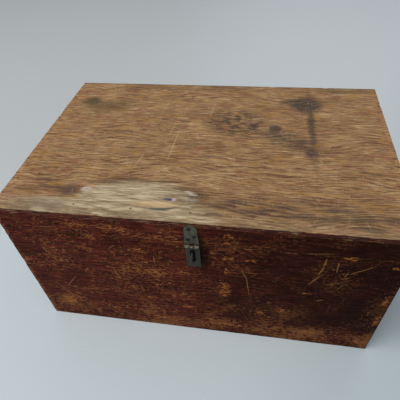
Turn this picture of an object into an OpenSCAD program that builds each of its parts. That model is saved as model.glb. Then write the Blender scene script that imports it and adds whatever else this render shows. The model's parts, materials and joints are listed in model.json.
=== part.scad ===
// A lidded wooden chest of plywood on solid end boards. The lid swings on two butt hinges
// at the back and is held shut by a hinged hasp over a wire staple at the front.
// Millimetres. The origin is the centre of the underside, +Z is up and the front faces -Y.

/* [Box] */
// Width over the front panel
box_w = 610; // [560:5:660]
// Depth over the front and back panels
box_d = 388; // [350:1:420]
// Height with the lid shut
box_h = 310; // [280:1:330]
// Depth of the lid, from its top face to its lower edge
lid_h = 46; // [44:1:47]
// Gap between the lid and the body, left by the saw
seam_gap = 1.2; // [0.8:0.1:2]

/* [Boards] */
// Thickness of the plywood panels
ply_t = 9.5; // [9:0.5:10]
// Thickness of the solid end boards
end_t = 19; // [18:1:22]
// Side of the square cleats inside the long joints
cleat_w = 19; // [18:1:20]

/* [Nails] */
// Shank diameter of the nails
nail_d = 2.2; // [1.8:0.1:2.6]
// Head diameter of the nails
nail_head_d = 3.4; // [3:0.1:4]
// Length of the nails that go into an end board
long_nail = 38; // [34:1:40]
// Length of the nails that go into a cleat
short_nail = 25; // [22:1:26]
// Depth of the heads below the face
nail_set = 0.3; // [0.1:0.1:0.6]

/* [Hasp] */
// Offset of the hasp to the right of the box's middle
hasp_x = 2; // [-20:1:20]
// Width of both leaves
hasp_w = 22; // [20:1:24]
// Thickness of the hasp's sheet steel
hasp_t = 1.4; // [1.2:0.1:1.6]
// Distance of the hasp's pin below the lid's top face
hasp_pin_drop = 48; // [47:1:52]
// Length of the slotted strap below the pin
strap_len = 52; // [49:1:54]
// Length of the strap's slot
slot_len = 27; // [26:0.5:28]
// Width of the strap's slot
slot_w = 8; // [7:0.5:9]
// Wire diameter of the staple
staple_d = 4; // [3.6:0.1:4.2]
// How far the staple stands out of the front
staple_reach = 13; // [13:0.5:17]

/* [Hinges] */
// Length of each butt hinge along the lid
hinge_len = 64; // [60:1:70]
// Width of one hinge leaf, from the pin
leaf_w = 26; // [24:1:28]
// Thickness of the hinge leaves
leaf_t = 1.5; // [1.4:0.1:1.6]
// Distance of each hinge from the middle of the box
hinge_x = 190; // [150:5:220]

/* [Hidden] */
$fn = 48;

wood = "saddlebrown";
stained = "#4a2119";
bare = "#a07a4c";
steel = "#6b6c66";
rust = "#5a4334";

// Radial room between a fastener and its hole, and of a pin in its knuckles
fit = 0.05;
// Room between parts of different bodies that lie side by side
run = 0.4;

front_y = -box_d / 2;
back_y = box_d / 2;
lid_z = box_h - lid_h;
body_top = lid_z - seam_gap;
inner_d = box_d - 2 * ply_t;
rail_top = box_h - ply_t;
end_x = box_w / 2 - end_t / 2;
cleat_y = box_d / 2 - ply_t - cleat_w / 2;
cleat_len = box_w - 2 * end_t;

nail_head_h = 1.2;
nail_room = 60;
long_rows = 7;
side_rows = 4;

hinge_r = 3;
hinge_bore = 1.55;
hinge_y = back_y + hinge_r + 0.3;
hinge_z = lid_z - seam_gap / 2;
knuckles = 5;
knuckle_gap = 0.3;

barrel_r = 2.7;
hasp_bore = 1.4;
hasp_y = front_y - barrel_r - run;
hasp_z = box_h - hasp_pin_drop;
slot_z = hasp_z - 24;
tip_r = 9.2;
tip_drop = 12.5;
staple_r = 9;
clinch_r = 2.4;
clinch_len = 7;

screw_len = 9.5;
screw_d = 3.2;
screw_head_d = 6;
// Hasp screws: sideways from the hasp's middle, and down from the top face
hasp_screw_at = [[-2, 12], [4.6, 28], [-4.8, 35]];
// Hinge screws: along the hinge, and away from the pin
hinge_screw_at = [[-23, 17], [0, 10.5], [23, 17]];

// count places spread evenly over span, about zero
function spread(count, span) = [for (i = [0:count - 1]) -span / 2 + span * i / (count - 1)];
// The places halfway between those of spread
function between(count, span) = [for (i = [0:count - 2]) -span / 2 + span * (i + 0.5) / (count - 1)];

row_span = cleat_len - 40;
side_span = inner_d - 2 * nail_room;
front_end_z = [for (i = [0:side_rows - 1]) 42 + (body_top - 60) * i / (side_rows - 1)];

// A box from its low corner to its high corner
module board(low, high) {
    translate(low) cube(high - low);
}

// A nail whose head's top is at the origin and which points along -Z.
// With grow it is the hole that the nail sits in, open above the head.
module nail(len, grow = 0) {
    open = grow > 0 ? nail_set + 1 : 0;
    translate([0, 0, -nail_head_h - grow])
        cylinder(d = nail_head_d + 2 * grow, h = nail_head_h + grow + open);
    translate([0, 0, -len - grow]) cylinder(d = nail_d + 2 * grow, h = len - nail_head_h / 2);
}

// A slotted round-head screw, or its hole, driven along -Z from a face at z = 0
module round_screw(grow = 0) {
    translate([0, 0, -(screw_len - 1)]) cylinder(d = screw_d + 2 * grow, h = screw_len - 1 + grow);
    if (grow == 0) difference() {
        intersection() {
            translate([0, 0, -1.6]) sphere(r = 3.4);
            cylinder(d = screw_head_d, h = 4);
        }
        translate([-5, -0.4, 0.9]) cube([10, 0.8, 3]);
    }
}

// A slotted flat-head screw, or its countersunk hole, whose head is flush with z = 0
module flat_screw(grow = 0) {
    cone = leaf_t - 0.3;
    difference() {
        union() {
            translate([0, 0, -cone])
                cylinder(r1 = screw_d / 2 + grow, r2 = screw_head_d / 2 + grow, h = cone);
            translate([0, 0, -screw_len]) cylinder(d = screw_d + 2 * grow, h = screw_len);
            if (grow > 0) cylinder(r = screw_head_d / 2 + grow, h = 1);
        }
        if (grow == 0) translate([-5, -0.4, -0.7]) cube([10, 0.8, 2]);
    }
}

// Places its children on the front, back, top or bottom face, with -Z into the wood
module on_front(x, z) { translate([x, front_y + nail_set, z]) rotate([90, 0, 0]) children(); }
module on_back(x, z) { translate([x, back_y - nail_set, z]) rotate([-90, 0, 0]) children(); }
module on_top(x, y) { translate([x, y, box_h - nail_set]) children(); }
module on_bottom(x, y) { translate([x, y, nail_set]) rotate([180, 0, 0]) children(); }

// ---- Nails, each as a group of solids or, with grow, as the holes for them

module front_nail_set(grow = 0) {
    for (x = [-end_x, end_x], z = front_end_z) on_front(x, z) nail(long_nail, grow);
    for (x = between(long_rows, row_span)) on_front(x, ply_t + cleat_w / 2) nail(short_nail, grow);
}

module back_nail_set(grow = 0) {
    for (x = [-end_x, end_x], z = front_end_z) on_back(x, z) nail(long_nail, grow);
    for (x = between(long_rows, row_span)) on_back(x, ply_t + cleat_w / 2) nail(short_nail, grow);
}

module bottom_nail_set(grow = 0) {
    for (x = [-end_x, end_x], y = spread(side_rows, side_span)) on_bottom(x, y) nail(long_nail, grow);
    for (y = [-cleat_y, cleat_y], x = spread(long_rows, row_span)) on_bottom(x, y) nail(short_nail, grow);
}

module lid_panel_nail_set(grow = 0) {
    for (x = [-end_x, end_x], y = spread(side_rows, side_span)) on_top(x, y) nail(long_nail, grow);
    for (y = [-cleat_y, cleat_y], x = spread(long_rows, row_span)) on_top(x, y) nail(short_nail, grow);
}

module lid_front_nail_set(grow = 0) {
    for (x = [-end_x, end_x], z = [lid_z + 9, lid_z + 27]) on_front(x, z) nail(long_nail, grow);
    for (x = between(long_rows, row_span)) on_front(x, rail_top - cleat_w / 2) nail(short_nail, grow);
}

module lid_back_nail_set(grow = 0) {
    for (x = [-end_x, end_x], z = [lid_z + 9, lid_z + 27]) on_back(x, z) nail(long_nail, grow);
    for (x = between(long_rows, row_span)) on_back(x, rail_top - cleat_w / 2) nail(short_nail, grow);
}

module front_nails() { color(rust) front_nail_set(); }
module back_nails() { color(rust) back_nail_set(); }
module bottom_nails() { color(rust) bottom_nail_set(); }
module lid_panel_nails() { color(rust) lid_panel_nail_set(); }
module lid_front_nails() { color(rust) lid_front_nail_set(); }
module lid_back_nails() { color(rust) lid_back_nail_set(); }

// ---- Boards of the body

module front_panel() {
    color(stained) difference() {
        board([-box_w / 2, front_y, 0], [box_w / 2, front_y + ply_t, body_top]);
        front_nail_set(fit);
        for (side = [-1, 1]) staple_leg(side, fit);
    }
}

module back_panel() {
    color(stained) difference() {
        board([-box_w / 2, back_y - ply_t, 0], [box_w / 2, back_y, body_top]);
        back_nail_set(fit);
        for (x = [-hinge_x, hinge_x]) hinge_screw_set(x, -1, fit);
    }
}

// An end board of the body: side is -1 on the left and 1 on the right
module end_board(side) {
    color(stained) difference() {
        board([side * end_x - end_t / 2, front_y + ply_t, ply_t],
              [side * end_x + end_t / 2, back_y - ply_t, body_top]);
        front_nail_set(fit);
        back_nail_set(fit);
        bottom_nail_set(fit);
    }
}

module left_end() { end_board(-1); }
module right_end() { end_board(1); }

module bottom_panel() {
    color(wood) difference() {
        board([-box_w / 2, front_y + ply_t, 0], [box_w / 2, back_y - ply_t, ply_t]);
        bottom_nail_set(fit);
    }
}

// A square strip along a long joint: side is -1 at the front and 1 at the back, low is its underside
module cleat(side, low) {
    board([-cleat_len / 2, side * cleat_y - cleat_w / 2, low],
          [cleat_len / 2, side * cleat_y + cleat_w / 2, low + cleat_w]);
}

module bottom_cleat_front() {
    color(bare) difference() {
        cleat(-1, ply_t);
        bottom_nail_set(fit);
        front_nail_set(fit);
    }
}

module bottom_cleat_back() {
    color(bare) difference() {
        cleat(1, ply_t);
        bottom_nail_set(fit);
        back_nail_set(fit);
    }
}

// ---- Boards of the lid

module lid_panel() {
    color(wood) difference() {
        board([-box_w / 2, front_y, rail_top], [box_w / 2, back_y, box_h]);
        lid_panel_nail_set(fit);
    }
}

module lid_front_rail() {
    color(stained) difference() {
        board([-box_w / 2, front_y, lid_z], [box_w / 2, front_y + ply_t, rail_top]);
        lid_front_nail_set(fit);
        hasp_screw_set(fit);
    }
}

module lid_back_rail() {
    color(stained) difference() {
        board([-box_w / 2, back_y - ply_t, lid_z], [box_w / 2, back_y, rail_top]);
        lid_back_nail_set(fit);
        for (x = [-hinge_x, hinge_x]) hinge_screw_set(x, 1, fit);
    }
}

module lid_end(side) {
    color(stained) difference() {
        board([side * end_x - end_t / 2, front_y + ply_t, lid_z],
              [side * end_x + end_t / 2, back_y - ply_t, rail_top]);
        lid_front_nail_set(fit);
        lid_back_nail_set(fit);
        lid_panel_nail_set(fit);
    }
}

module lid_left_end() { lid_end(-1); }
module lid_right_end() { lid_end(1); }

module lid_cleat_front() {
    color(bare) difference() {
        cleat(-1, rail_top - cleat_w);
        lid_panel_nail_set(fit);
        lid_front_nail_set(fit);
    }
}

module lid_cleat_back() {
    color(bare) difference() {
        cleat(1, rail_top - cleat_w);
        lid_panel_nail_set(fit);
        lid_back_nail_set(fit);
    }
}

// ---- Butt hinges: side is -1 for the body's leaf and 1 for the lid's leaf

knuckle_len = (hinge_len - (knuckles - 1) * knuckle_gap) / knuckles;
function knuckle_x(i) = -hinge_len / 2 + i * (knuckle_len + knuckle_gap);

module hinge_screw_set(x, side, grow = 0) {
    for (at = hinge_screw_at)
        translate([x + at[0], back_y + leaf_t, hinge_z + side * at[1]]) rotate([-90, 0, 0]) flat_screw(grow);
}

module hinge_leaf(x, side) {
    // The plate stops short of the other leaf's knuckles
    plate_from = 3;
    first = side < 0 ? 0 : 1;
    plate_low = side < 0 ? -leaf_w : plate_from;
    difference() {
        union() {
            translate([x - hinge_len / 2, back_y, hinge_z + plate_low])
                cube([hinge_len, leaf_t, leaf_w - plate_from]);
            for (i = [first:2:knuckles - 1]) translate([x + knuckle_x(i), 0, hinge_z]) {
                translate([0, back_y, side < 0 ? -plate_from - 1 : 0])
                    cube([knuckle_len, leaf_t, plate_from + 1]);
                translate([0, hinge_y, 0]) rotate([0, 90, 0]) cylinder(r = hinge_r, h = knuckle_len);
            }
        }
        translate([x - hinge_len, hinge_y, hinge_z]) rotate([0, 90, 0])
            cylinder(r = hinge_bore, h = 2 * hinge_len);
        // Each leaf is eased where it passes the wood of the other body
        translate([x - hinge_len, back_y - 1, hinge_z - (side < 0 ? 0 : 2 * leaf_w) + side * seam_gap / 2])
            translate([0, 0, side < 0 ? seam_gap : -seam_gap]) cube([2 * hinge_len, 1 + 0.3, 2 * leaf_w]);
        hinge_screw_set(x, side, fit);
    }
}

module hinge_pin(x) {
    translate([x - hinge_len / 2, hinge_y, hinge_z]) rotate([0, 90, 0])
        cylinder(r = hinge_bore - fit, h = hinge_len);
    for (side = [-1, 1]) translate([x + side * (hinge_len / 2 + 0.6), hinge_y, hinge_z])
        rotate([0, 90, 0]) cylinder(r = hinge_bore + 0.5, h = 1.2, center = true);
}

module body_leaf_left() { color(steel) hinge_leaf(-hinge_x, -1); }
module body_leaf_right() { color(steel) hinge_leaf(hinge_x, -1); }
module lid_leaf_left() { color(steel) hinge_leaf(-hinge_x, 1); }
module lid_leaf_right() { color(steel) hinge_leaf(hinge_x, 1); }
module hinge_pin_left() { color(steel) hinge_pin(-hinge_x); }
module hinge_pin_right() { color(steel) hinge_pin(hinge_x); }
module body_leaf_screws_left() { color(rust) hinge_screw_set(-hinge_x, -1); }
module body_leaf_screws_right() { color(rust) hinge_screw_set(hinge_x, -1); }
module lid_leaf_screws_left() { color(rust) hinge_screw_set(-hinge_x, 1); }
module lid_leaf_screws_right() { color(rust) hinge_screw_set(hinge_x, 1); }

// ---- Hasp: a screwed plate on the lid, and a slotted strap that swings on its pin

// Moves what is drawn about the box's middle to the hasp's place
module at_hasp() { translate([hasp_x, 0, 0]) children(); }

barrel_gap = 0.3;
barrel_len = (hasp_w - 2 * barrel_gap) / 3;

// The bore through all three knuckles, for the pin
module hasp_pin_hole() {
    translate([hasp_x - hasp_w, hasp_y, hasp_z]) rotate([0, 90, 0])
        cylinder(r = hasp_bore + fit, h = 2 * hasp_w);
}

// One of the hasp barrel's three knuckles, from the left
module hasp_knuckle(i) {
    translate([-hasp_w / 2 + i * (barrel_len + barrel_gap), hasp_y, hasp_z]) {
        rotate([0, 90, 0]) cylinder(r = barrel_r, h = barrel_len);
        // The tongue of sheet that rolls into the knuckle
        translate([0, barrel_r - hasp_t, i == 1 ? -4 : 0]) cube([barrel_len, hasp_t, 4]);
    }
}

module hasp_screw_set(grow = 0) {
    at_hasp() for (at = hasp_screw_at)
        translate([at[0], front_y - hasp_t, box_h - at[1]]) rotate([90, 0, 0]) round_screw(grow);
}

// Outline of the plate: it tapers a little upwards and ends in an arc, tangent to its sides
module plate_outline() {
    low = hasp_z + 3.2;
    tip_z = box_h - tip_drop;
    rise = tip_z - low;
    reach = sqrt(rise * rise + hasp_w * hasp_w / 4);
    lean = acos(tip_r / reach) - atan2(rise, hasp_w / 2);
    touch = [tip_r * cos(lean), tip_z + tip_r * sin(lean)];
    polygon([[-hasp_w / 2, low], [hasp_w / 2, low], touch, [-touch[0], touch[1]]]);
    translate([0, tip_z]) circle(r = tip_r);
}

module hasp_plate() {
    color(steel) difference() {
        at_hasp() {
            translate([0, front_y, 0]) rotate([90, 0, 0]) linear_extrude(hasp_t) plate_outline();
            hasp_knuckle(0);
            hasp_knuckle(2);
            // The strip of sheet above the seam that the tongues spring from
            for (x = [-hasp_w / 2, hasp_w / 2 - barrel_len])
                board([x, front_y - hasp_t - run, hasp_z], [x + barrel_len, front_y, hasp_z + 4]);
        }
        // Room between the plate and the body's front, below the seam
        at_hasp() board([-hasp_w, front_y - run, 0], [hasp_w, front_y + 1, lid_z]);
        hasp_pin_hole();
        hasp_screw_set(fit);
    }
}

// Outline of the strap, which has rounded lower corners, and its slot with round ends
module strap_outline() {
    corner = 4;
    low = hasp_z - strap_len;
    top = hasp_z - 3.2;
    difference() {
        union() {
            translate([-hasp_w / 2, low + corner]) square([hasp_w, top - low - corner]);
            translate([-hasp_w / 2 + corner, low]) square([hasp_w - 2 * corner, top - low]);
            for (x = [-1, 1]) translate([x * (hasp_w / 2 - corner), low + corner]) circle(r = corner);
        }
        translate([-slot_w / 2, slot_z - (slot_len - slot_w) / 2]) square([slot_w, slot_len - slot_w]);
        for (end = [-1, 1]) translate([0, slot_z + end * (slot_len - slot_w) / 2]) circle(d = slot_w);
    }
}

module hasp_strap() {
    color(steel) difference() {
        at_hasp() {
            translate([0, front_y - run, 0]) rotate([90, 0, 0]) linear_extrude(hasp_t) strap_outline();
            hasp_knuckle(1);
        }
        hasp_pin_hole();
    }
}

module hasp_pin() {
    color(steel) translate([hasp_x - hasp_w / 2 - 0.6, hasp_y, hasp_z]) rotate([0, 90, 0])
        cylinder(r = hasp_bore, h = hasp_w + 1.2);
}

module hasp_screws() { color(rust) hasp_screw_set(); }

// ---- Staple: a round-nosed wire loop through the front, its ends clinched over inside

leg_y = front_y - staple_reach + staple_d / 2 + staple_r;
clinch_y = front_y + ply_t + fit;

// One straight leg of the staple, or its hole through the front panel
module staple_leg(side, grow = 0) {
    len = grow > 0 ? 3 * ply_t : clinch_y - leg_y;
    translate([hasp_x, leg_y, slot_z + side * staple_r]) rotate([-90, 0, 0])
        cylinder(d = staple_d + 2 * grow, h = len);
}

// A quarter turn of the wire that carries a leg's end away from the loop, and its short tail
module clinch(side) {
    translate([hasp_x, clinch_y, slot_z + side * (staple_r + clinch_r)]) {
        rotate([90, 0, 90]) rotate([0, 0, side > 0 ? -90 : 0]) rotate_extrude(angle = 90)
            translate([clinch_r, 0]) circle(d = staple_d);
        translate([0, clinch_r, 0]) rotate([side > 0 ? 0 : 180, 0, 0]) cylinder(d = staple_d, h = clinch_len);
    }
}

module staple() {
    color(steel) {
        translate([hasp_x, leg_y, slot_z]) rotate([90, 0, 90]) rotate([0, 0, 90]) rotate_extrude(angle = 180)
            translate([staple_r, 0]) circle(d = staple_d);
        for (side = [-1, 1]) {
            staple_leg(side);
            clinch(side);
        }
    }
}

front_panel();
back_panel();
left_end();
right_end();
bottom_panel();
bottom_cleat_front();
bottom_cleat_back();
front_nails();
back_nails();
bottom_nails();
staple();
body_leaf_left();
body_leaf_right();
hinge_pin_left();
hinge_pin_right();
body_leaf_screws_left();
body_leaf_screws_right();
lid_panel();
lid_front_rail();
lid_back_rail();
lid_left_end();
lid_right_end();
lid_cleat_front();
lid_cleat_back();
lid_panel_nails();
lid_front_nails();
lid_back_nails();
lid_leaf_left();
lid_leaf_right();
lid_leaf_screws_left();
lid_leaf_screws_right();
hasp_plate();
hasp_screws();
hasp_pin();
hasp_strap();
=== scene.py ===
import json
import math

import bmesh
import bpy
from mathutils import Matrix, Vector, noise

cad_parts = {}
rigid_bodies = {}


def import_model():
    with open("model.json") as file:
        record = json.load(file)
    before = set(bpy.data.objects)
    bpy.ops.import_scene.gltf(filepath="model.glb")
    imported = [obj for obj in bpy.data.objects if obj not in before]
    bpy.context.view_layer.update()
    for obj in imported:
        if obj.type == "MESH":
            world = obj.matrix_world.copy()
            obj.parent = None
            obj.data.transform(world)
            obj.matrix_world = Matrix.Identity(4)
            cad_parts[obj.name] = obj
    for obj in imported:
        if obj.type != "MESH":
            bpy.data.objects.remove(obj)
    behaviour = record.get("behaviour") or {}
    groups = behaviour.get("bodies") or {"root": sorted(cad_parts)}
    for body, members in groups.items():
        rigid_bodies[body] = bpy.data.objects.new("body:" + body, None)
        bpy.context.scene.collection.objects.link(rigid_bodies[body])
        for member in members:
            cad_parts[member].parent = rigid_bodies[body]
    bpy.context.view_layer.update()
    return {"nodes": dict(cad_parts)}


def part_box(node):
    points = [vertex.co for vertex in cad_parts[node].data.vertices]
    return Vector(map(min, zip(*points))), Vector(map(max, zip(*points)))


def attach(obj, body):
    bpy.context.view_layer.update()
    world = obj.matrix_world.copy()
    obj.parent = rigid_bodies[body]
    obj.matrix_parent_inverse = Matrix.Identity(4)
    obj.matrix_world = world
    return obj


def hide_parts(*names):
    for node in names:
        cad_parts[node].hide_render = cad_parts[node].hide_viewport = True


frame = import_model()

# ---- Sizes, in metres, all from the frame

MM = 0.001
LID_LOW, LID_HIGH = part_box("lid_panel")
WIDTH = LID_HIGH.x - LID_LOW.x
DEPTH = LID_HIGH.y - LID_LOW.y
TOP = LID_HIGH.z
PLY = LID_HIGH.z - LID_LOW.z
HASP_PIN = (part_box("hasp_pin")[0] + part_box("hasp_pin")[1]) / 2

# The same in millimetres, for the materials
HALF_W = WIDTH / 2 / MM
HALF_D = DEPTH / 2 / MM
TOP_MM = TOP / MM
PLY_MM = PLY / MM

# ---- Sizes and counts that the frame doesn't give

PLY_LAYERS = 5

# From one of the hasp's knuckles to the next, in millimetres
KNUCKLE_STEP = 7.3

# The round recess in a board that a nail's head sits in, in metres
RECESS_RADIUS = 1.75 * MM
RECESS_DEPTH = 2 * MM
RECESS_SIDES = 14

# Wider than a nail's head, and less than the gap between two nails
HEAD_ROOM = 6 * MM

# How many spots a material works out at once
BATCH = 14


# ---- Material graphs


class Value:
    """A socket of a material graph that can be used in sums."""

    def __init__(self, graph, socket):
        self.graph = graph
        self.socket = socket

    def __add__(self, other):
        return self.graph.math("ADD", self, other)

    def __radd__(self, other):
        return self.graph.math("ADD", other, self)

    def __sub__(self, other):
        return self.graph.math("SUBTRACT", self, other)

    def __rsub__(self, other):
        return self.graph.math("SUBTRACT", other, self)

    def __mul__(self, other):
        return self.graph.math("MULTIPLY", self, other)

    def __rmul__(self, other):
        return self.graph.math("MULTIPLY", other, self)

    def __truediv__(self, other):
        return self.graph.math("DIVIDE", self, other)

    def __abs__(self):
        return self.graph.math("ABSOLUTE", self)


class Graph:
    """A new material whose pattern is worked out from the place on the object, in millimetres."""

    def __init__(self, name):
        self.material = bpy.data.materials.new(name)
        self.material.use_nodes = True
        self.tree = self.material.node_tree
        self.tree.nodes.clear()
        self.output = self.node("ShaderNodeOutputMaterial")
        self.shader = self.node("ShaderNodeBsdfPrincipled")
        self.tree.links.new(self.shader.outputs[0], self.output.inputs["Surface"])
        split = self.node("ShaderNodeSeparateXYZ")
        self.tree.links.new(self.node("ShaderNodeTexCoord").outputs["Object"], split.inputs[0])
        self.x, self.y, self.z = (Value(self, socket) / MM for socket in split.outputs)

    def node(self, kind, **settings):
        """A new node of that kind, with those settings."""
        made = self.tree.nodes.new(kind)
        for setting, value in settings.items():
            setattr(made, setting, value)
        return made

    def put(self, value, socket):
        """Links a Value to a socket, or sets the socket to a number."""
        if isinstance(value, Value):
            self.tree.links.new(value.socket, socket)
        else:
            socket.default_value = value

    def math(self, operation, *values):
        """The result of one sum, such as ADD or MAXIMUM."""
        made = self.node("ShaderNodeMath", operation=operation)
        for value, socket in zip(values, made.inputs):
            self.put(value, socket)
        return Value(self, made.outputs[0])

    def highest(self, first, *others):
        """The highest of several values."""
        for other in others:
            first = self.math("MAXIMUM", first, other)
        return first

    def place(self, x, y, z=0.0):
        """One value for a place, which textures and spots are measured from."""
        made = self.node("ShaderNodeCombineXYZ")
        for value, socket in zip((x, y, z), made.inputs):
            self.put(value, socket)
        return Value(self, made.outputs[0])

    def noise(self, x, y, z=0.0, detail=2.0, roughness=0.5):
        """Smooth noise from 0 to 1 whose features are about one unit across."""
        place = self.place(x, y, z)
        made = self.node("ShaderNodeTexNoise")
        self.put(place, made.inputs["Vector"])
        made.inputs["Scale"].default_value = 1.0
        made.inputs["Detail"].default_value = detail
        made.inputs["Roughness"].default_value = roughness
        return Value(self, made.outputs["Fac"])

    def cracks(self, x, y, z=0.0):
        """0 where cells about one unit across meet, and more inside them."""
        place = self.place(x, y, z)
        made = self.node("ShaderNodeTexVoronoi", feature="DISTANCE_TO_EDGE")
        self.put(place, made.inputs["Vector"])
        made.inputs["Scale"].default_value = 1.0
        return Value(self, made.outputs["Distance"])

    def band(self, value, low, high, start=0.0, end=1.0):
        """Goes smoothly from start to end as value goes from low to high."""
        made = self.node("ShaderNodeMapRange", interpolation_type="SMOOTHSTEP")
        names = ("Value", "From Min", "From Max", "To Min", "To Max")
        for given, name in zip((value, low, high, start, end), names):
            self.put(given, made.inputs[name])
        return Value(self, made.outputs["Result"])

    def mix(self, amount, first, second):
        """Mixes colours: all of first where amount is 0 and all of second where it is 1."""
        made = self.node("ShaderNodeMix", data_type="RGBA", blend_type="MIX")
        self.put(amount, made.inputs["Factor"])
        for colour, name in ((first, "A"), (second, "B")):
            socket = next(s for s in made.inputs if s.name == name and s.type == "RGBA")
            if isinstance(colour, Value):
                self.put(colour, socket)
            else:
                socket.default_value = paint(*colour)
        return Value(self, next(s for s in made.outputs if s.type == "RGBA"))

    def ramp(self, value, *stops):
        """A colour for each value: stops are (value, red, green, blue), lowest value first."""
        made = self.node("ShaderNodeValToRGB")
        self.put(value, made.inputs[0])
        points = made.color_ramp.elements
        while len(points) < len(stops):
            points.new(0.5)
        for point, stop in zip(points, stops):
            point.position = stop[0]
            point.color = paint(*stop[1:])
        return Value(self, made.outputs[0])

    def turned(self, u, v, angle):
        """u and v measured along and across a direction at angle degrees."""
        turn = math.radians(angle)
        along = u * math.cos(turn) + v * math.sin(turn)
        across = v * math.cos(turn) - u * math.sin(turn)
        return along, across

    def spot(self, place, middle, size, angle=0.0, soft=0.5, ragged=0.0):
        """1 inside an oval of that size, fading to 0 past its edge, which ragged moves in and out."""
        turned = self.node("ShaderNodeMapping", vector_type="TEXTURE")
        self.put(place, turned.inputs["Vector"])
        turned.inputs["Location"].default_value = (middle[0], middle[1], 0)
        turned.inputs["Rotation"].default_value = (0, 0, math.radians(angle))
        turned.inputs["Scale"].default_value = (size[0] / 2, size[1] / 2, 1)
        length = self.node("ShaderNodeVectorMath", operation="LENGTH")
        self.tree.links.new(turned.outputs[0], length.inputs[0])
        return self.band(Value(self, length.outputs["Value"]) + ragged, 1 + soft, 1 - soft)

    def marks(self, u, v, marks, soft=0.5):
        """1 on any of many spots, each given as (middle, size) or (middle, size, angle). A shader only
        has room for a limited number of unused results, so the spots are made in batches, and each
        batch waits for the last one: it is shifted a little where it crosses an earlier spot."""
        found = 0.0
        for start in range(0, len(marks), BATCH):
            place = self.place(u + found * 0.5, v)
            for mark in marks[start:start + BATCH]:
                found = self.highest(self.spot(place, *mark, soft=soft), found)
        return found

    def finish(self, colour, roughness, height, bump=0.4, distance=0.3):
        """Links the surface's colour and roughness, and its relief with heights in millimetres."""
        self.put(colour, self.shader.inputs["Base Color"])
        self.put(roughness, self.shader.inputs["Roughness"])
        relief = self.node("ShaderNodeBump")
        relief.inputs["Strength"].default_value = bump
        relief.inputs["Distance"].default_value = distance * MM
        self.put(height, relief.inputs["Height"])
        self.tree.links.new(relief.outputs[0], self.shader.inputs["Normal"])
        return self.material


def paint(red, green, blue):
    """A colour given as sRGB values from 0 to 255, in the linear values that Blender wants."""
    linear = []
    for value in (red, green, blue):
        if value > 10:
            linear.append((value / 255 + 0.055) ** 2.4 / 1.055 ** 2.4)
        else:
            linear.append(value / 255 / 12.92)
    return (*linear, 1.0)


# ---- Wood


def fir_grain(g, along, across, seed):
    """The late wood and the fibres of rotary-cut fir, each from 0 to 1."""
    sway = (g.noise(along / 210, across / 80, seed, 1.0) - 0.5) * 80
    ripple = (g.noise(along / 26, across / 12, seed + 3, 4.0, 0.65) - 0.5) * 7
    place = across + sway + ripple
    rings = place / 5.6 + (g.noise(place / 17, seed + 5, 0.0, 1.0) - 0.5) * 2.0
    phase = g.math("FRACT", rings)
    late = g.band(phase, 0.35, 0.85) * g.band(phase, 1.0, 0.92)
    broken = g.band(g.noise(along / 42, across / 9, seed + 9, 4.0, 0.7), 0.4, 0.62)
    fibres = g.noise(along / 24, across / 2.4 + ripple / 6, seed + 11, 5.0, 0.72)
    return late * broken, fibres


def scratches(g, u, v, angle, seed):
    """Thin, slightly bent scratches scattered at one angle."""
    along, across = g.turned(u, v, angle)
    bend = (g.noise(along / 60, across / 60, seed, 1.0) - 0.5) * 9
    line = g.band(g.noise(along / 14, (across + bend) / 1.8, seed + 1, 0.0), 0.7, 0.78)
    where = g.band(g.noise(along / 40, across / 28, seed + 2, 2.0), 0.5, 0.62)
    return line * where


def scribble(g, u, v, size, seed):
    """Short straight scratches in every direction, where cells of that size meet."""
    line = g.band(g.cracks(u / size, v / size, seed), 0.07, 0.02)
    return line * g.band(g.noise(u / size * 1.6, v / size * 1.6, seed + 1, 1.0), 0.5, 0.62)


def stain_coat(g, along, across, deep, wear):
    """Dark red-brown stain, streaked along the grain and rubbed through in places: a colour, its
    relief, and how far it is rubbed through. deep, from 0 to 1, is painted shade that darkens the
    colour and lets less bare wood show through, and wear adds to how far it is rubbed."""
    late, fibres = fir_grain(g, along, across, 83.0)
    mottle = g.noise(along / 120, across / 50, 89.0, 3.0, 0.55)
    streaks = g.noise(along / 34, across / 4.6, 85.0, 3.0, 0.6)
    tone = fibres * 0.3 + streaks * 0.52 + mottle * 0.18 - late * 0.07 + 0.02
    colour = g.ramp(tone, (0.38, 27, 9, 7), (0.46, 58, 21, 14), (0.54, 85, 33, 23), (0.64, 121, 57, 37))
    tint = g.noise(along / 26, across / 14, 91.0, 2.0)
    colour = g.mix(g.band(tint, 0.5, 0.64) * 0.3, colour, (70, 28, 30))
    colour = g.mix(g.band(tint, 0.46, 0.34) * 0.35, colour, (66, 46, 24))
    # Painted shade: the colour goes towards near black where deep says
    colour = g.mix(deep, colour, (20, 4, 2))

    flecks = g.noise(along / 9, across / 3.6, 97.0, 4.0, 0.7)
    patches = g.noise(along / 55, across / 42, 101.0, 2.0)
    rubbed = g.band(flecks + patches * 0.5 + wear, 0.835, 0.89)
    bare = g.ramp(fibres * 0.6 + mottle * 0.4,
                  (0.36, 104, 56, 28), (0.5, 146, 90, 48), (0.64, 184, 126, 74))
    colour = g.mix(rubbed * 0.72 * (1 - deep), colour, bare)
    relief = fibres * 0.5 + streaks * 0.3 - late * 0.4 - rubbed * 0.3
    return colour, relief, rubbed


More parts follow.
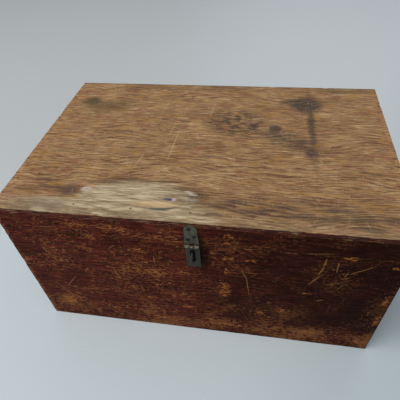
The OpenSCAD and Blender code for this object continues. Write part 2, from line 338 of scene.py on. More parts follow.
def ply_edge(g, depth, along, seed):
    """The edge of five-ply board, where depth runs through its thickness: a colour, and its relief."""
    layer = g.math("FRACT", depth / (PLY_MM / PLY_LAYERS) / 2)
    cross = g.band(abs(layer - 0.75), 0.27, 0.23)
    streak = g.noise(along / 14, depth / 0.5, seed, 3.0)
    end_grain = g.noise(along / 0.9, depth / 0.7, seed + 2, 2.0)
    long_colour = g.ramp(streak, (0.3, 128, 98, 66), (0.5, 176, 146, 106), (0.7, 198, 172, 132))
    cross_colour = g.ramp(end_grain, (0.3, 70, 50, 36), (0.6, 128, 98, 68))
    glue = g.band(abs(g.math("FRACT", depth / (PLY_MM / PLY_LAYERS) + 0.5) - 0.5), 0.09, 0.03)
    colour = g.mix(cross, long_colour, cross_colour)
    colour = g.mix(glue * 0.7, colour, (58, 40, 30))
    return colour, streak * (1 - cross) + end_grain * cross * 0.6 - cross * 0.4


def worn_top():
    """The lid's weathered top: bare fir, with a bleached strip at the front, and oil and ink stains.
    Its edges are stained like the box's front."""
    g = Graph("worn_fir")
    x, y, depth = g.x, g.y, TOP_MM - g.z
    late, fibres = fir_grain(g, x, y, 1.0)
    mottle = g.noise(x / 70, y / 40, 31.0, 4.0, 0.65)
    bend = (g.noise(x / 30, y / 18, 35.0, 2.0) - 0.5) * 2.5
    streaks = g.noise(x / 30, y / 3.8 + bend, 33.0, 4.0, 0.65)
    tone = fibres * 0.42 + streaks * 0.34 + mottle * 0.24 - late * 0.04
    colour = aged_fir(g, x, y, late, tone)
    colour, bleached = bleach(g, x, y, late, fibres, mottle, colour)
    colour = top_stains(g, x, y, late, fibres, colour)
    colour = spills(g, x, y, fibres, colour)
    colour = worn_rim(g, x, y, fibres, mottle, colour)
    scored = top_scratches(g, x, y)
    colour = g.mix(scored * 0.45, colour, (206, 172, 128))
    colour = handled_front(g, x, y, fibres, streaks, mottle, colour)

    # The stained edges below, and the bare underside
    edges, ply_relief = lid_edges(g, x, y, depth, mottle)
    below = g.band(depth + (streaks - 0.5) * 2, 0.5, 0.9)
    colour = g.mix(below, colour, edges)
    inside = g.band(depth, PLY_MM - 0.6, PLY_MM - 0.2)
    colour = g.mix(inside, colour, g.ramp(tone, (0.3, 120, 84, 52), (0.7, 186, 146, 98)))

    relief = fibres * 0.5 + streaks * 0.3 - late * 0.5 - scored * 0.8 + below * ply_relief * 0.5
    rough = g.band(fibres + bleached * 0.2, 0.2, 0.9, 0.55, 0.85)
    g.shader.inputs["Specular IOR Level"].default_value = 0.15
    return g.finish(colour, rough, relief, 0.6, 0.4)


def aged_fir(g, x, y, late, tone):
    """The top's bare wood: tan to brown with its tone, redder, yellower and greyer in patches."""
    colour = g.ramp(tone,
                    (0.38, 92, 60, 40), (0.46, 138, 102, 68), (0.54, 170, 134, 94), (0.63, 208, 175, 130))
    blush = g.noise(x / 34, y / 16, 37.0, 3.0, 0.6)
    colour = g.mix(g.band(blush, 0.52, 0.66) * 0.55, colour, (140, 86, 62))
    colour = g.mix(g.band(blush, 0.48, 0.36) * 0.5, colour, (168, 122, 62))
    greyed = g.noise(x / 44, y / 13, 39.0, 3.0, 0.6)
    colour = g.mix(g.band(greyed, 0.54, 0.68) * 0.4, colour, (122, 102, 78))
    return g.mix(late * g.band(y, -60, 90, 0.75, 0.5), colour, (84, 54, 38))


def worn_rim(g, x, y, fibres, mottle, colour):
    """Dark nicks and orange wear at the top's two ends, and dirt along its back."""
    end_gap = HALF_W - abs(x)
    end_wear = g.band(end_gap + (mottle - 0.5) * 60, 24, 3) * g.band(fibres, 0.35, 0.6)
    colour = g.mix(end_wear * 0.45, colour, (184, 134, 84))
    nicks = g.band(g.noise(x / 9, y / 3.2, 47.0, 2.0), 0.54, 0.62) * g.band(end_gap, 20, 2)
    colour = g.mix(nicks * 0.75, colour, (62, 42, 34))
    back_dirt = g.band(HALF_D - y + (mottle - 0.5) * 8, 4.5, 1)
    return g.mix(back_dirt * 0.7, colour, (84, 70, 52))


def top_scratches(g, x, y):
    """Light scratches on the top, most of them across the grain. The long ones are placed one by one,
    as (across, back) from the middle of the top."""
    scored = g.marks(x, y, (
        ((-106, -62), (30, 2.0), 78), ((-60, -84), (34, 1.8), 38), ((-52, -88), (30, 1.8), -44),
        ((60, -96), (44, 1.8), 12), ((-58, -20), (78, 1.8), 88), ((-5, 96), (44, 1.8), 84),
        ((-70, 26), (34, 1.8), 78), ((-20, 10), (26, 1.8), -70),
    ))
    for angle, seed in ((60.0, 30.0), (-75.0, 47.0), (90.0, 63.0)):
        scored = g.highest(scored, scratches(g, x, y, angle, seed) * 0.75)
    return scored


def handled_front(g, x, y, fibres, streaks, mottle, colour):
    """The top's front arris rubbed pale, and the wood behind it grubby from hands, most at the left."""
    from_front = HALF_D + y
    arris = g.band(from_front, 2.6, 1.2)
    colour = g.mix(arris * g.band(streaks, 0.4, 0.6, 0.0, 0.3), colour, (178, 148, 110))
    grubby = g.band(from_front + (mottle - 0.5) * 40 + g.band(x, -60, 0) * 10, 26, 7)
    grubby = grubby * g.band(fibres + streaks * 0.5, 0.92, 0.65)
    return g.mix(grubby * 0.6, colour, (114, 91, 67))


def lid_edges(g, x, y, depth, mottle):
    """The lid panel's edges: a colour, and the plies' relief. They are stained like the front, with
    painted shade that darkens them towards the right end and the back, and chipped down to the plies."""
    on_end = g.band(abs(x), HALF_W - 1.2, HALF_W - 0.5)
    along = x * (1 - on_end) + y * on_end
    plies, ply_relief = ply_edge(g, depth, along, 61.0)
    apart = depth + 300  # so that the edges don't repeat the front's pattern
    # Painted shade, as on the front, darker towards the right end and the back
    coat = stain_coat(g, along, apart, right_shade(g, x, y, mottle), 0.02)[0]
    chipped = g.band(g.noise(along / 26, depth / 1.6, 67.0, 3.0, 0.6), 0.56, 0.64)
    return g.mix(chipped * 0.75, coat, plies), ply_relief


def bleach(g, x, y, late, fibres, mottle, colour):
    """Bleaches the left half of the top's front edge, and a narrow strip to the right of it. Gives
    the new colour, and how far each place is bleached."""
    ragged = (g.noise(x / 46, y / 6, 41.0, 4.0, 0.62) - 0.5) * 2
    lens = g.spot(g.place(x + ragged * 30, y + ragged * 10), (-86, -168), (186, 108), soft=0.16)
    strip_top = g.band(x, 0, 80, -163, -173) + g.band(x, 80, HALF_W, 0, -12)
    strip = g.band(y + ragged * 11, strip_top + 6, strip_top - 5)
    bleached = g.highest(lens, strip * g.band(x, 20, 50, 0.84, 0.2) * g.band(fibres, 0.3, 0.55, 0.55, 1.0))
    bleached = bleached * g.band(x + ragged * 30, -300, -215, 0.45, 1.0)
    cloudy = g.noise(x / 60, y / 9, 43.0, 4.0, 0.6)
    pale = g.ramp(fibres * 0.45 + cloudy * 0.55,
                  (0.36, 104, 86, 64), (0.46, 156, 135, 107), (0.55, 195, 175, 141), (0.66, 220, 204, 172))
    pale = g.mix(late * 0.6, pale, (118, 92, 62))
    at = g.place(x + ragged * 14, y + ragged * 6)
    grey = g.spot(at, (-232, -176), (96, 34), soft=0.5)
    pale = g.mix(grey * 0.6, pale, (132, 124, 108))
    colour = g.mix(bleached * g.band(fibres + cloudy, 0.7, 1.05, 0.74, 1.0), colour, pale)

    # Grey-brown grain behind the strip, right of the middle, and dark lines round the bleached wood
    grey_zone = g.spot(at, (140, -158), (350, 52), soft=0.5)
    grey_zone = grey_zone * g.band(late * 0.7 + fibres + mottle * 0.3, 0.5, 0.95)
    colour = g.mix(grey_zone * 0.62, colour, (72, 56, 44))
    rim = g.marks(x + ragged * 14, y + ragged * 6, (
        ((-146, -122), (70, 8)), ((-100, -113), (80, 9)), ((-248, -126), (66, 7)), ((-44, -113), (60, 7)),
        ((6, -143), (30, 24)), ((-14, -127), (40, 10)), ((-236, -142), (70, 6)), ((-272, -150), (50, 6)),
    ))
    return g.mix(rim * g.band(fibres, 0.35, 0.6, 0.35, 0.8), colour, (82, 64, 48)), bleached


def top_stains(g, x, y, late, fibres, colour):
    """Oil and ink stains on the top, which the late wood takes up most."""
    at = g.place(x, y)
    edge = g.noise(x / 13, y / 6, 7.3, 3.0, 0.6) - 0.5
    soak = 0.72 + 0.28 * g.band(late * 0.6 + fibres, 0.35, 0.8)
    disc = g.highest(
        g.spot(at, (169, 127), (60, 54), soft=0.4, ragged=edge * 0.6),
        g.spot(at, (145, 134), (36, 22), soft=0.5, ragged=edge * 0.8) * 0.9,
    )
    run = g.highest(
        g.spot(at, (177.5, 52), (12, 200), angle=0.3, soft=0.7, ragged=edge * 0.25) * 0.84,
        g.spot(at, (174, -22), (22, 36), soft=0.6, ragged=edge * 0.6) * 0.9,
    )
    drip = g.spot(at, (114, 42), (24, 26), soft=0.4, ragged=edge * 0.5)
    smear = g.spot(at, (134, 13), (122, 42), angle=-26, soft=0.7, ragged=edge * 1.1)
    blotch = g.spot(at, (43, 57), (118, 76), angle=-16, soft=0.35, ragged=edge * 0.7)
    flecks = g.band(g.noise(x / 17, y / 5.5, 53.0, 1.0), 0.46, 0.54)
    stain = g.highest(disc, run, drip, smear * flecks * 0.8, smear * 0.6,
                      blotch * flecks * 0.95, blotch * 0.2)
    colour = g.mix(stain * soak * 0.9, colour, (46, 46, 44))
    green = g.highest(
        g.spot(at, (-256, 116), (38, 30), soft=0.6, ragged=edge * 0.5) * 1.3,
        g.spot(at, (-216, 102), (100, 44), soft=0.7, ragged=edge * 0.7) * 0.7,
        g.spot(at, (250, 181), (120, 16), soft=0.6, ragged=edge * 0.6) * 0.8,
        g.spot(at, (-60, 176), (280, 14), soft=0.6, ragged=edge * 0.9) * 0.5,
    )
    colour = g.mix(green * 0.66, colour, (78, 68, 44))
    knot = g.spot(at, (-196, -145), (34, 24), soft=0.6, ragged=edge * 1.0)
    colour = g.mix(knot * g.band(fibres, 0.3, 0.55, 0.5, 0.85), colour, (82, 64, 56))
    damp = g.marks(x, y + edge * 10, (
        ((33, -156), (40, 9)), ((83, -164), (44, 10)), ((124, -152), (50, 8)), ((152, -167), (40, 10)),
        ((191, -168), (44, 11)), ((236, -166), (36, 12)), ((274, -163), (44, 12)), ((246, -181), (40, 8)),
        ((60, -148), (50, 7)), ((203, -150), (34, 8)),
    ), soft=0.7)
    return g.mix(damp * g.band(fibres, 0.35, 0.6, 0.3, 0.72), colour, (74, 62, 54))


def spills(g, x, y, fibres, colour):
    """Thin splashes of paint, an ink mark with a painted highlight at its right end, and a pencil line on
    the bleached wood.
    """
    at = g.place(x, y)
    edge = g.noise(x / 6, y / 3, 7.3, 3.0, 0.6) - 0.5
    streaky = g.band(g.noise(x / 9, y / 2.6, 57.0, 3.0, 0.6), 0.38, 0.6)
    white = g.highest(
        g.spot(at, (-170, -141), (15, 11), angle=20, soft=0.6, ragged=edge * 0.8),
        g.spot(at, (-6, -136), (20, 6), angle=-20, soft=0.6, ragged=edge * 0.8),
        g.spot(at, (-150, -134), (16, 6), soft=0.6, ragged=edge * 0.8) * 0.5,
        g.spot(at, (-2, -150), (18, 5), soft=0.6, ragged=edge * 0.8) * 0.6,
    )
    colour = g.mix(white * (0.2 + streaky * 0.5), colour, (210, 200, 190))
    warm = g.spot(at, (-52, -163), (60, 14), soft=0.7, ragged=edge * 0.8)
    colour = g.mix(warm * 0.45, colour, (228, 192, 138))
    ink = g.spot(at, (-38, -151), (15, 5.5), soft=0.45, ragged=edge * 0.4)
    colour = g.mix(ink * (0.6 + streaky * 0.3), colour, (48, 52, 92))
    # A painted highlight at the right end of the ink mark
    colour = g.mix(g.spot(at, (-29, -151), (6, 6), soft=0.6) * 0.6, colour, (208, 184, 190))
    pencil = g.spot(g.place(x, y + (x + 44) * (x + 44) * -0.006), (-44, -172), (46, 5.0), 7)
    return g.mix(pencil * 0.9, colour, (76, 78, 70))


def right_shade(g, x, z, mottle):
    """Painted shade on the front: darker towards its right end, and a painted shadow to the right of the
    hasp.
    """
    # Painted shade, darker towards the right end and less so near the foot
    end = g.band(x + (mottle - 0.5) * 120, -10, 70) * 0.56 + g.band(x, 100, 290) * 0.24
    end = end * g.band(z + (mottle - 0.5) * 60, 20, 80, 0.4, 1.0)
    # A painted shadow that the hasp casts onto the front at its right
    hasp_shadow = g.spot(g.place(x, z), (13, TOP_MM - 66), (34, 84), soft=0.5) * 0.85
    return g.highest(end, hasp_shadow)


def stained(name, grain_axis):
    """Dark red-brown stain on fir, scratched and worn through, and bare wood inside the box."""
    g = Graph(name)
    x, y, z = g.x, g.y, g.z
    side = g.band(abs(x), HALF_W - 1.2, HALF_W - 0.5)
    face = g.band(abs(y), HALF_D - 1.2, HALF_D - 0.5)
    outside = g.highest(side, face)
    if grain_axis == "x":
        along, across = x, z + y * 0.6
    else:
        along, across = y, z + x * 0.6
    mottle = g.noise(along / 110, across / 50, 89.0, 3.0, 0.55)

    # The stain is rubbed through most along the foot, at the corners and in the front's busy places
    low_edge = g.band(z + (mottle - 0.5) * 80, 100, 10)
    corner = g.band(HALF_W - abs(x) + (mottle - 0.5) * 36, 14, 1) * face
    front = face * g.band(y, 0, -1)
    # Painted shade on the front: darker towards its right end and in a painted shadow right of the hasp,
    # with fewer scratches showing there
    deep = right_shade(g, x, z, mottle) * front if grain_axis == "x" else 0.0
    wear = low_edge * 0.075 + corner * 0.13 - side * 0.03
    if grain_axis == "x":
        wear = wear + busy_places(g, x, z) * front * 0.055 - g.band(y, -1, 0) * 0.03
    colour, relief, rubbed = stain_coat(g, along, across, deep, wear)
    colour = g.mix(low_edge * rubbed * 0.24, colour, (144, 100, 58))

    scored = all_scratches(g, along, across) * (1 - deep) * (0.5 + front * 0.5)
    colour = g.mix(scored * 0.5, colour, (168, 108, 64))
    if grain_axis == "x":
        worn, scored_here = front_marks(g, x, z)
        colour = g.mix(worn * front * 0.82, colour, (172, 106, 54))
        colour = g.mix(scored_here * front * 0.5, colour, (176, 120, 72))
        relief = relief - g.highest(worn, scored_here) * front * 0.5

    # Painted shade along the foot, where the box meets the floor, a dark line at the corners, and the cut
    # plies at the ends of the front and the back
    foot = g.band(z + (mottle - 0.5) * 4, 2.6, 1.0)
    arris = g.band(HALF_W - abs(x), 2.4, 1.0) * face
    colour = g.mix(g.highest(foot * 0.85, arris * 0.6), colour, (24, 16, 13))
    if grain_axis == "x":
        plies, ply_relief = ply_edge(g, HALF_D - abs(y), z, 149.0)
        on_end = side * g.band(HALF_D - abs(y), 0.5, 1.2)
        colour = g.mix(on_end * 0.2, colour, plies)
        relief = relief + on_end * ply_relief * 0.8

    late, fibres = fir_grain(g, along, across, 83.0)
    colour = g.mix(outside, sawn_fir(g, late, fibres, mottle), colour)
    rough = g.band(fibres + scored * 0.4, 0.3, 0.9, 0.5, 0.75)
    g.shader.inputs["Specular IOR Level"].default_value = 0.03
    return g.finish(colour, rough, relief - scored * 0.8, 0.5, 0.3)


def all_scratches(g, along, across):
    """Scratches in five directions."""
    layers = [scratches(g, along, across, angle, seed) for angle, seed in
              ((4.0, 107.0), (-52.0, 113.0), (38.0, 127.0), (97.0, 137.0), (75.0, 143.0))]
    return g.highest(*layers)


def sawn_fir(g, late, fibres, mottle):
    """The bare wood of a stained board, wherever the outside doesn't show."""
    inner = g.ramp(fibres * 0.5 + mottle * 0.5,
                   (0.3, 112, 78, 48), (0.5, 158, 118, 76), (0.68, 184, 146, 100))
    return g.mix(late * 0.4, inner, (104, 66, 38))


def busy_places(g, x, z):
    """1 where the front has been rubbed and scratched most."""
    return g.marks(x, z, (
        ((-90, 150), (130, 150)), ((-230, 205), (60, 70)), ((118, 92), (130, 50)), ((140, 30), (300, 40)),
        ((52, 240), (50, 100)), ((-150, 275), (150, 30)), ((214, 216), (60, 60)), ((-250, 60), (70, 60)),
        ((290, 120), (36, 120)),
    ), soft=0.6)


def front_marks(g, x, z):
    """The front's own marks: how far the stain is rubbed off there, and its longest scratches. Each
    place is (across, up) from the middle of the foot."""
    patches = (
        ((56, 289), (15, 14)), ((57, 272), (22, 5)), ((58, 236), (26, 12)), ((88, 236), (24, 10)),
        ((53, 204), (9, 22)), ((48, 150), (26, 60)), ((109, 87), (18, 26)), ((146, 105), (34, 22)),
        ((32, 246), (12, 6)), ((180, 164), (18, 8)), ((228, 262), (30, 12)), ((206, 36), (46, 7)),
        ((284, 24), (34, 12)), ((50, 31), (120, 8)), ((-52, 222), (9, 11)), ((-77, 206), (17, 9)),
        ((-99, 186), (18, 10)), ((-65, 182), (16, 5)), ((-66, 170), (16, 5)), ((-66, 158), (15, 5)),
        ((-66, 144), (15, 6)), ((-86, 100), (22, 6)), ((-124, 63), (16, 8)), ((-14, 187), (18, 7)),
        ((-16, 82), (30, 18)), ((-66, 30), (70, 14)), ((-87, 237), (34, 16)), ((-217, 216), (7, 24)),
        ((-230, 188), (7, 26)), ((-256, 56), (30, 34)), ((-188, 134), (8, 10)), ((-173, 286), (44, 12)),
        ((-118, 286), (56, 14)), ((-156, 259), (24, 16)), ((-292, 184), (14, 16)), ((297, 163), (12, 40)),
        ((298, 104), (14, 40)), ((290, 248), (20, 7)),
    )
    scratched = (
        ((-228, 127), (60, 2.0), 52), ((-208, 104), (60, 1.4), 2), ((-146, 184), (24, 2.2), -26),
        ((-136, 166), (34, 2.8), -80), ((-128, 239), (22, 2.2), 42), ((-223, 275), (40, 1.8), 6),
        ((-265, 264), (26, 1.6), 6), ((-79, 274), (36, 1.8), 30), ((-62, 216), (26, 2.6), -84),
        ((-70, 187), (36, 2.4), 10), ((-54, 96), (14, 2.0), -62), ((-35, 215), (12, 2.2), -54),
        ((-22, 267), (30, 1.6), 7), ((84, 175), (84, 1.9), -79), ((63, 101), (26, 1.8), 10),
        ((109, 272), (18, 1.6), 8), ((194, 248), (26, 2.8), 86), ((193, 228), (28, 2.8), 80),
        ((186, 202), (40, 2.6), 58), ((211, 240), (30, 2.8), -82), ((223, 190), (22, 1.8), 62),
        ((244, 236), (50, 2.2), 40), ((175, 266), (66, 1.6), 8), ((214, 199), (36, 1.5), 24),
        ((227, 214), (16, 2.0), 34), ((227, 224), (18, 2.0), 70), ((201, 148), (16, 2.4), 30),
        ((-46, 152), (5, 9.0), 90), ((-190, 168), (16, 3.0), 60), ((-250, 216), (24, 3.0), -58),
    )
    flecks = g.noise(x / 6.5, z / 3.6, 151.0, 4.0, 0.7)
    bend = (g.noise(x / 40, z / 40, 157.0, 1.0) - 0.5) * 10
    worn = g.marks(x + bend, z, patches, soft=0.8)
    scored = g.marks(x + bend + worn, z, scratched)  # waits for the patches, as one batch does for another
    tangle = scribble(g, x, z, 9, 161.0) * busy_places(g, x, z) * 0.7
    worn = g.band(worn * 0.3 + flecks * 1.3, 0.9, 1.02)
    return worn, g.highest(g.band(scored * 0.5 + flecks, 0.78, 1.0), tangle)


def bare_wood(name, seed):
    """Unfinished fir inside the box, gone brown with age, and stained where it reaches the box's ends."""
    g = Graph(name)
    along, across = g.x, g.y + g.z * 0.7
    late, fibres = fir_grain(g, along, across, seed)
    mottle = g.noise(along / 80, across / 40, seed + 20, 3.0)
    colour = g.ramp(fibres * 0.5 + mottle * 0.5,
                    (0.3, 118, 84, 52), (0.5, 164, 125, 82), (0.68, 192, 154, 108))
    colour = g.mix(late * 0.45, colour, (112, 72, 42))
    grime = g.band(g.noise(along / 50, across / 30, seed + 24, 4.0, 0.6), 0.52, 0.7)
    colour = g.mix(grime * 0.45, colour, (84, 62, 44))
    stained_end_grain = g.band(abs(g.x), HALF_W - 1.2, HALF_W - 0.5)
    colour = g.mix(stained_end_grain * 0.88, colour, (62, 26, 18))
    return g.finish(colour, g.band(fibres, 0.2, 0.8, 0.6, 0.85), fibres * 0.5 - late * 0.4, 0.5, 0.3)


# ---- Metal


def old_steel(name, light, dark, rust_amount, painted_highlight=None):
    """Tarnished steel: mottled patina, rust in the pits, and a painted highlight with smoother metal where
    the optional highlight function says.
    """
    g = Graph(name)
    x, y, z = g.x, g.y, g.z
    cloud = g.noise(x / 6, y / 6, z / 6, 4.0, 0.6)
    pits = g.noise(x / 1.1, y / 1.1, z / 1.1, 2.0)
    colour = g.mix(g.band(cloud, 0.35, 0.65), dark, light)
    rust = g.band(cloud * 0.5 + pits * 0.6, 0.6, 0.72) * rust_amount
    colour = g.mix(rust, colour, (92, 58, 36))
    rough = g.band(cloud, 0.3, 0.7, 0.42, 0.62) + rust * 0.2
    if painted_highlight:
        # Painted highlight: the colour is made lighter there, and the metal smoother
        highlight_mask = painted_highlight(g, x, y, z) * g.band(pits, 0.3, 0.55, 0.55, 1.0)
        colour = g.mix(highlight_mask, colour, (158, 142, 120))
        rough = rough - highlight_mask * 0.16
    g.shader.inputs["Metallic"].default_value = 0.55
    return g.finish(colour, rough, pits * 0.6 + cloud * 0.4 - rust * 0.5, 0.35, 0.12)


def knuckle_highlight(g, x, y, z):
    """Where the hasp's knuckles get a painted highlight and smoother metal: at their fronts just above the
    pin, less so near the gaps between them.
    """
    front = g.band(y - HASP_PIN.y / MM, -1.2, -2.5)
    level = g.band(abs(z - HASP_PIN.z / MM - 0.8), 2.2, 0.4)
    across = g.math("FRACT", (x - HASP_PIN.x / MM) / KNUCKLE_STEP + 0.5)
    return front * level * g.band(abs(across - 0.5), 0.4, 0.1) * 0.8


def staple_highlight(g, x, y, z):
    """Where the staple gets a painted highlight and smoother metal: on the left of its nose."""
    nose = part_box("staple")[0].y / MM
    return g.band(y, nose + 7, nose + 1) * g.band(x - HASP_PIN.x / MM, 0, -1.6) * 0.5


# ---- Worn boards


def spacing(low, high, step):
    """Places along one side of a board: close together at its ends, then about a step apart. A
    plywood panel's thickness gets a place on both sides of every glue line."""
    length = high - low
    near = [0, 0.4 * MM, 0.9 * MM, 1.5 * MM]
    if length < 12 * MM:
        layer = length / PLY_LAYERS
        middle = [layer * i + side * 0.1 * MM for i in range(1, PLY_LAYERS) for side in (-1, 1)]
    else:
        near += [2.4 * MM, 3.8 * MM]
        inner = length - 2 * near[-1]
        count = max(3, round(inner / step))
        middle = [near[-1] + inner * i / count for i in range(1, count)]
    return [low + d for d in near + middle] + [high - d for d in reversed(near)]


def plain_board(low, high, step):
    """A closed box of small rectangles."""
    places = [spacing(low[i], high[i], step) for i in range(3)]
    mesh = bmesh.new()
    made = {}

    def corner(key):
        if key not in made:
            made[key] = mesh.verts.new([places[i][key[i]] for i in range(3)])
        return made[key]

    for axis in range(3):
        one, two = (axis + 1) % 3, (axis + 2) % 3
        last = len(places[axis]) - 1
        for end in (0, last):
            for i in range(len(places[one]) - 1):
                for j in range(len(places[two]) - 1):
                    ring = [(i, j), (i + 1, j), (i + 1, j + 1), (i, j + 1)]
                    if end == 0:
                        ring.reverse()
                    keys = []
                    for a, b in ring:
                        key = [0, 0, 0]
                        key[axis], key[one], key[two] = end, a, b
                        keys.append(tuple(key))
                    mesh.faces.new([corner(key) for key in keys])
    return mesh


def reaches(face, centre, axis):
    """Whether a face in the board's surface comes close to a recess at centre, along axis."""
    corners = [v.co for v in face.verts]
    if any(abs(c[axis] - centre[axis]) > 0.1 * MM for c in corners):
        return False
    gap = 0.0
    for i in ((axis + 1) % 3, (axis + 2) % 3):
        low, high = min(c[i] for c in corners), max(c[i] for c in corners)
        gap += (centre[i] - min(max(centre[i], low), high)) ** 2
    room = RECESS_RADIUS + 0.5 * MM
    return gap < room * room


def recess_ring(mesh, centre, axis):
    """A ring of new corners round centre, as wide as a recess."""
    made = []
    for i in range(RECESS_SIDES):
        turn = 2 * math.pi * i / RECESS_SIDES
        at = [0.0, 0.0, 0.0]
        at[axis] = centre[axis]
        at[(axis + 1) % 3] = centre[(axis + 1) % 3] + RECESS_RADIUS * math.cos(turn)
        at[(axis + 2) % 3] = centre[(axis + 2) % 3] + RECESS_RADIUS * math.sin(turn)
        made.append(mesh.verts.new(at))
    return made


def sink(mesh, centre, axis, inward):
    """Cuts a nail head's recess into a board's face at centre, along axis. inward is 1 or -1."""
    cut = [face for face in mesh.faces if reaches(face, centre, axis)]
    bmesh.ops.delete(mesh, geom=cut, context="FACES")
    rim = [edge for edge in mesh.edges if len(edge.link_faces) == 1]
    bottom_centre = list(centre)
    bottom_centre[axis] = centre[axis] + inward * RECESS_DEPTH
    top = recess_ring(mesh, centre, axis)
    bottom = recess_ring(mesh, bottom_centre, axis)
    mouth = [mesh.edges.new((top[i - 1], top[i])) for i in range(RECESS_SIDES)]
    bmesh.ops.triangle_fill(mesh, edges=rim + mouth, use_beauty=True)
    for i in range(RECESS_SIDES):
        mesh.faces.new((top[i - 1], top[i], bottom[i], bottom[i - 1]))
    mesh.faces.new(bottom)
    for edge in mouth:
        edge.smooth = False


def bite(edge, seed):
    """How deep the board is chipped at a place on one of its edges, from 0 to about 1."""
    shift = Vector((seed, 2 * seed, 3 * seed))
    long_chips = noise.noise(edge * 38 + shift)
    splinters = noise.noise(edge * 150 + shift)
    return max(0.0, long_chips * 1.1 + splinters * 0.7 - 0.22)


def worn_point(point, low, high, radius, chip, plies, seed):
    """Where a point on a plain board's surface goes when the edges are rounded and chipped. With
    plies, the axis through a plywood board, the cross plies' end grain is worn back."""
    gaps = [min(point[i] - low[i], high[i] - point[i]) for i in range(3)]
    if sorted(gaps)[1] > 2 * chip:
        return point
    inward = [1 if point[i] - low[i] < high[i] - point[i] else -1 for i in range(3)]
    moved = point.copy()
    for a, b in ((0, 1), (1, 2), (2, 0)):
        if gaps[a] + gaps[b] < 2 * chip:
            edge = point.copy()
            for i in (a, b):
                edge[i] = low[i] if inward[i] > 0 else high[i]
            short = chip * bite(edge, seed) - gaps[a] - gaps[b]
            if short > 0:
                moved[a] += inward[a] * short / 2
                moved[b] += inward[b] * short / 2
    if plies is not None:
        layer = int(PLY_LAYERS * (point[plies] - low[plies]) / (high[plies] - low[plies]))
        back = 0.22 * MM if layer % 2 else 0.04 * MM
        for i in range(3):
            if i != plies and gaps[i] < 0.01 * MM:
                moved[i] += inward[i] * back * (1 + noise.noise(point * 260))
    soft = radius * (1 + 0.5 * noise.noise(point * 30 + Vector((seed, 0, 0))))
    core = Vector([min(max(moved[i], low[i] + soft), high[i] - soft) for i in range(3)])
    out = moved - core
    if out.length > 0:
        out *= max(abs(c) for c in out) / out.length
    return core + out


def nail_heads(node, axis, level):
    """The middles of the heads in a node of nails, moved onto the board's face at level along axis."""
    mesh = frame["nodes"][node].data
    gap = min(abs(v.co[axis] - level) for v in mesh.vertices)
    heads = []
    for v in mesh.vertices:
        if abs(abs(v.co[axis] - level) - gap) > 0.02 * MM:
            continue
        head = next((h for h in heads if (h[0].co - v.co).length < HEAD_ROOM), None)
        if head:
            head.append(v)
        else:
            heads.append([v])
    middles = []
    for head in heads:
        middle = Vector([(min(v.co[i] for v in head) + max(v.co[i] for v in head)) / 2 for i in range(3)])
        middle[axis] = level
        middles.append(middle)
    return middles


def board(node, material, step, chip, radius=0.7 * MM, plies=None, nails=()):
    """Replaces a CAD board by a worn one. step is the size of its mesh, chip how deep its edges are
    chipped and radius how far they are rounded. plies is the axis through a plywood board. nails
    lists (node, axis, side): side is 0 where they go in at the low face and 1 at the high face."""
    low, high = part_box(node)
    mesh = plain_board(low, high, step)
    for nail_node, axis, side in nails:
        level = (low, high)[side][axis]
        for centre in nail_heads(nail_node, axis, level):
            if all(low[i] < centre[i] < high[i] for i in range(3) if i != axis):
                sink(mesh, centre, axis, 1 if side == 0 else -1)
    seed = sum(ord(letter) for letter in node) % 97  # each board is chipped in its own way
    for v in mesh.verts:
        v.co = worn_point(v.co, low, high, radius, chip, plies, seed)
    for face in mesh.faces:
        face.smooth = True
    data = bpy.data.meshes.new(node + "_worn")
    mesh.to_mesh(data)
    mesh.free()
    data.materials.append(material)
    piece = bpy.data.objects.new(node + "_worn", data)
    bpy.context.collection.objects.link(piece)
    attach(piece, frame["nodes"][node].parent.name.split(":")[1])
    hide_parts(node)


def refinish(node, material, edge=0.0):
    """Gives a CAD node a material, and softens its edges by that many metres."""
    piece = frame["nodes"][node]
    piece.data.materials.clear()
    piece.data.materials.append(material)
    if edge:
        bevel = piece.modifiers.new("softened_edges", "BEVEL")
        bevel.width = edge
        bevel.segments = 2
        bevel.limit_method = "ANGLE"
        bevel.angle_limit = math.radians(35)
        bevel.harden_normals = False


# ---- The box

top_wood = worn_top()
stained_ply = stained("stained_fir_ply", "x")
stained_end = stained("stained_end_board", "y")
inner_ply = bare_wood("bare_fir_ply", 163.0)
cleat_wood = bare_wood("bare_cleat", 191.0)

board("lid_panel", top_wood, 4.5 * MM, 4.0 * MM, plies=2, nails=[("lid_panel_nails", 2, 1)])
board("lid_front_rail", stained_ply, 5 * MM, 2.2 * MM, plies=1,
      nails=[("lid_front_nails", 1, 0)])
board("lid_back_rail", stained_ply, 6 * MM, 2.2 * MM, plies=1,
      nails=[("lid_back_nails", 1, 1)])
board("front_panel", stained_ply, 5 * MM, 2.6 * MM, plies=1, nails=[("front_nails", 1, 0)])
board("back_panel", stained_ply, 7 * MM, 2.6 * MM, plies=1, nails=[("back_nails", 1, 1)])
board("bottom_panel", inner_ply, 9 * MM, 2.0 * MM, plies=2, nails=[("bottom_nails", 2, 0)])
for end in ("left_end", "right_end"):
    board(end, stained_end, 7 * MM, 2.4 * MM)
for end in ("lid_left_end", "lid_right_end"):
    board(end, stained_end, 6 * MM, 2.2 * MM)
for cleat in ("bottom_cleat_front", "bottom_cleat_back", "lid_cleat_front", "lid_cleat_back"):
    board(cleat, cleat_wood, 9 * MM, 2.0 * MM, radius=1.0 * MM)

nail_steel = old_steel("nail_steel", (60, 32, 26), (44, 22, 18), 0.1)
top_nail_steel = old_steel("top_nail_steel", (146, 116, 84), (124, 94, 66), 0.1)
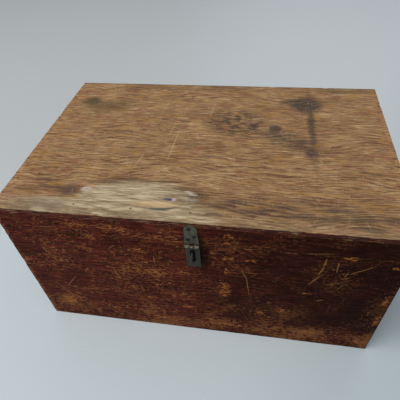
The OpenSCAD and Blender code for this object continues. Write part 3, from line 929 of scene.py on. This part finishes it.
# Tarnished steel darkened to near black as painted shade, so that the screw heads read as shadowed hollows
screw_steel = old_steel("screw_steel", (36, 33, 29), (18, 16, 14), 0.3)
hasp_steel = old_steel("hasp_steel", (98, 94, 73), (62, 60, 47), 0.25, knuckle_highlight)
strap_steel = old_steel("strap_steel", (66, 59, 45), (36, 31, 22), 0.3, knuckle_highlight)
staple_steel = old_steel("staple_steel", (46, 46, 40), (30, 29, 26), 0.3, staple_highlight)
hinge_steel = old_steel("hinge_steel", (104, 104, 94), (68, 66, 58), 0.45)

for node in ("front_nails", "back_nails", "bottom_nails", "lid_front_nails", "lid_back_nails"):
    refinish(node, nail_steel)
refinish("lid_panel_nails", top_nail_steel)
for node in ("hasp_screws", "body_leaf_screws_left", "body_leaf_screws_right",
             "lid_leaf_screws_left", "lid_leaf_screws_right"):
    refinish(node, screw_steel)
refinish("hasp_plate", hasp_steel, 0.3 * MM)
refinish("hasp_pin", hasp_steel, 0.3 * MM)
refinish("hasp_strap", strap_steel, 0.3 * MM)
refinish("staple", staple_steel)
for node in ("body_leaf_left", "body_leaf_right", "lid_leaf_left", "lid_leaf_right"):
    refinish(node, hinge_steel, 0.3 * MM)
for node in ("hinge_pin_left", "hinge_pin_right"):
    refinish(node, hinge_steel)


# ---- Floor, lights and camera


def floor():
    """A pale painted floor, with painted shade behind the box, most at its left, and a painted shadow at
    its right.
    """
    g = Graph("floor_paint")
    cloud = g.noise(g.x / 400, g.y / 400, 0.0, 3.0)
    colour = g.mix(cloud, (202, 211, 215), (208, 217, 221))
    # Painted shade behind the box, darker towards the left
    far = g.band(g.y - g.x * 0.3, 0, 500)
    colour = g.mix(far * 0.8, colour, g.mix(g.band(g.x, -600, 300), (190, 191, 190), (208, 211, 212)))
    # A painted shadow on the floor to the right of the box, and in front of its right end
    colour = g.mix(g.band(g.x - g.y * 0.4, 150, 500) * 0.45, colour, (158, 174, 176))
    specks = g.band(g.noise(g.x / 3.5, g.y / 3.5, 5.0, 2.0), 0.68, 0.74)
    specks = specks * g.band(g.noise(g.x / 160, g.y / 160), 0.48, 0.58)
    colour = g.mix(specks * 0.4, colour, (120, 124, 124))
    bpy.ops.mesh.primitive_plane_add(size=10)
    plane = bpy.context.object
    plane.name = "floor"
    plane.data.materials.append(g.finish(colour, g.band(cloud, 0.3, 0.7, 0.7, 0.8), cloud, 0.1))


def lamp(name, place, aim, size, power, colour):
    """A round soft light at place, turned towards aim."""
    data = bpy.data.lights.new(name, "AREA")
    data.shape = "DISK"
    data.size = size
    data.energy = power
    data.color = colour
    light = bpy.data.objects.new(name, data)
    bpy.context.collection.objects.link(light)
    light.location = place
    light.rotation_euler = (Vector(aim) - Vector(place)).to_track_quat("-Z", "Y").to_euler()


floor()
lamp("key", (-1.5, -1.1, 3.9), (0, 0, 0.2), 2.4, 98, (1.0, 0.985, 0.96))
lamp("fill", (0.2, -2.6, 1.8), (0, 0, 0.15), 2.2, 5, (0.94, 0.97, 1.0))
lamp("back", (1.5, 2.4, 2.4), (0.3, 0.8, 0), 2.0, 8, (0.96, 0.98, 1.0))

world = bpy.data.worlds.new("studio")
world.use_nodes = True
sky = world.node_tree.nodes["Background"]
sky.inputs["Color"].default_value = (0.86, 0.93, 1.0, 1.0)
sky.inputs["Strength"].default_value = 0.42
bpy.context.scene.world = world
bpy.context.scene.view_settings.view_transform = "Standard"

camera = bpy.data.objects.new("camera", bpy.data.cameras.new("camera"))
bpy.context.collection.objects.link(camera)
camera.location = Vector((0.1544, -0.8698, 1.1398)) * WIDTH  # its place in widths of the box
camera.rotation_euler = (math.radians(45.396), math.radians(3.424), math.radians(9.106))
camera.data.sensor_width = 36
camera.data.lens = 33.85
camera.data.clip_start = 0.05
bpy.context.scene.camera = camera
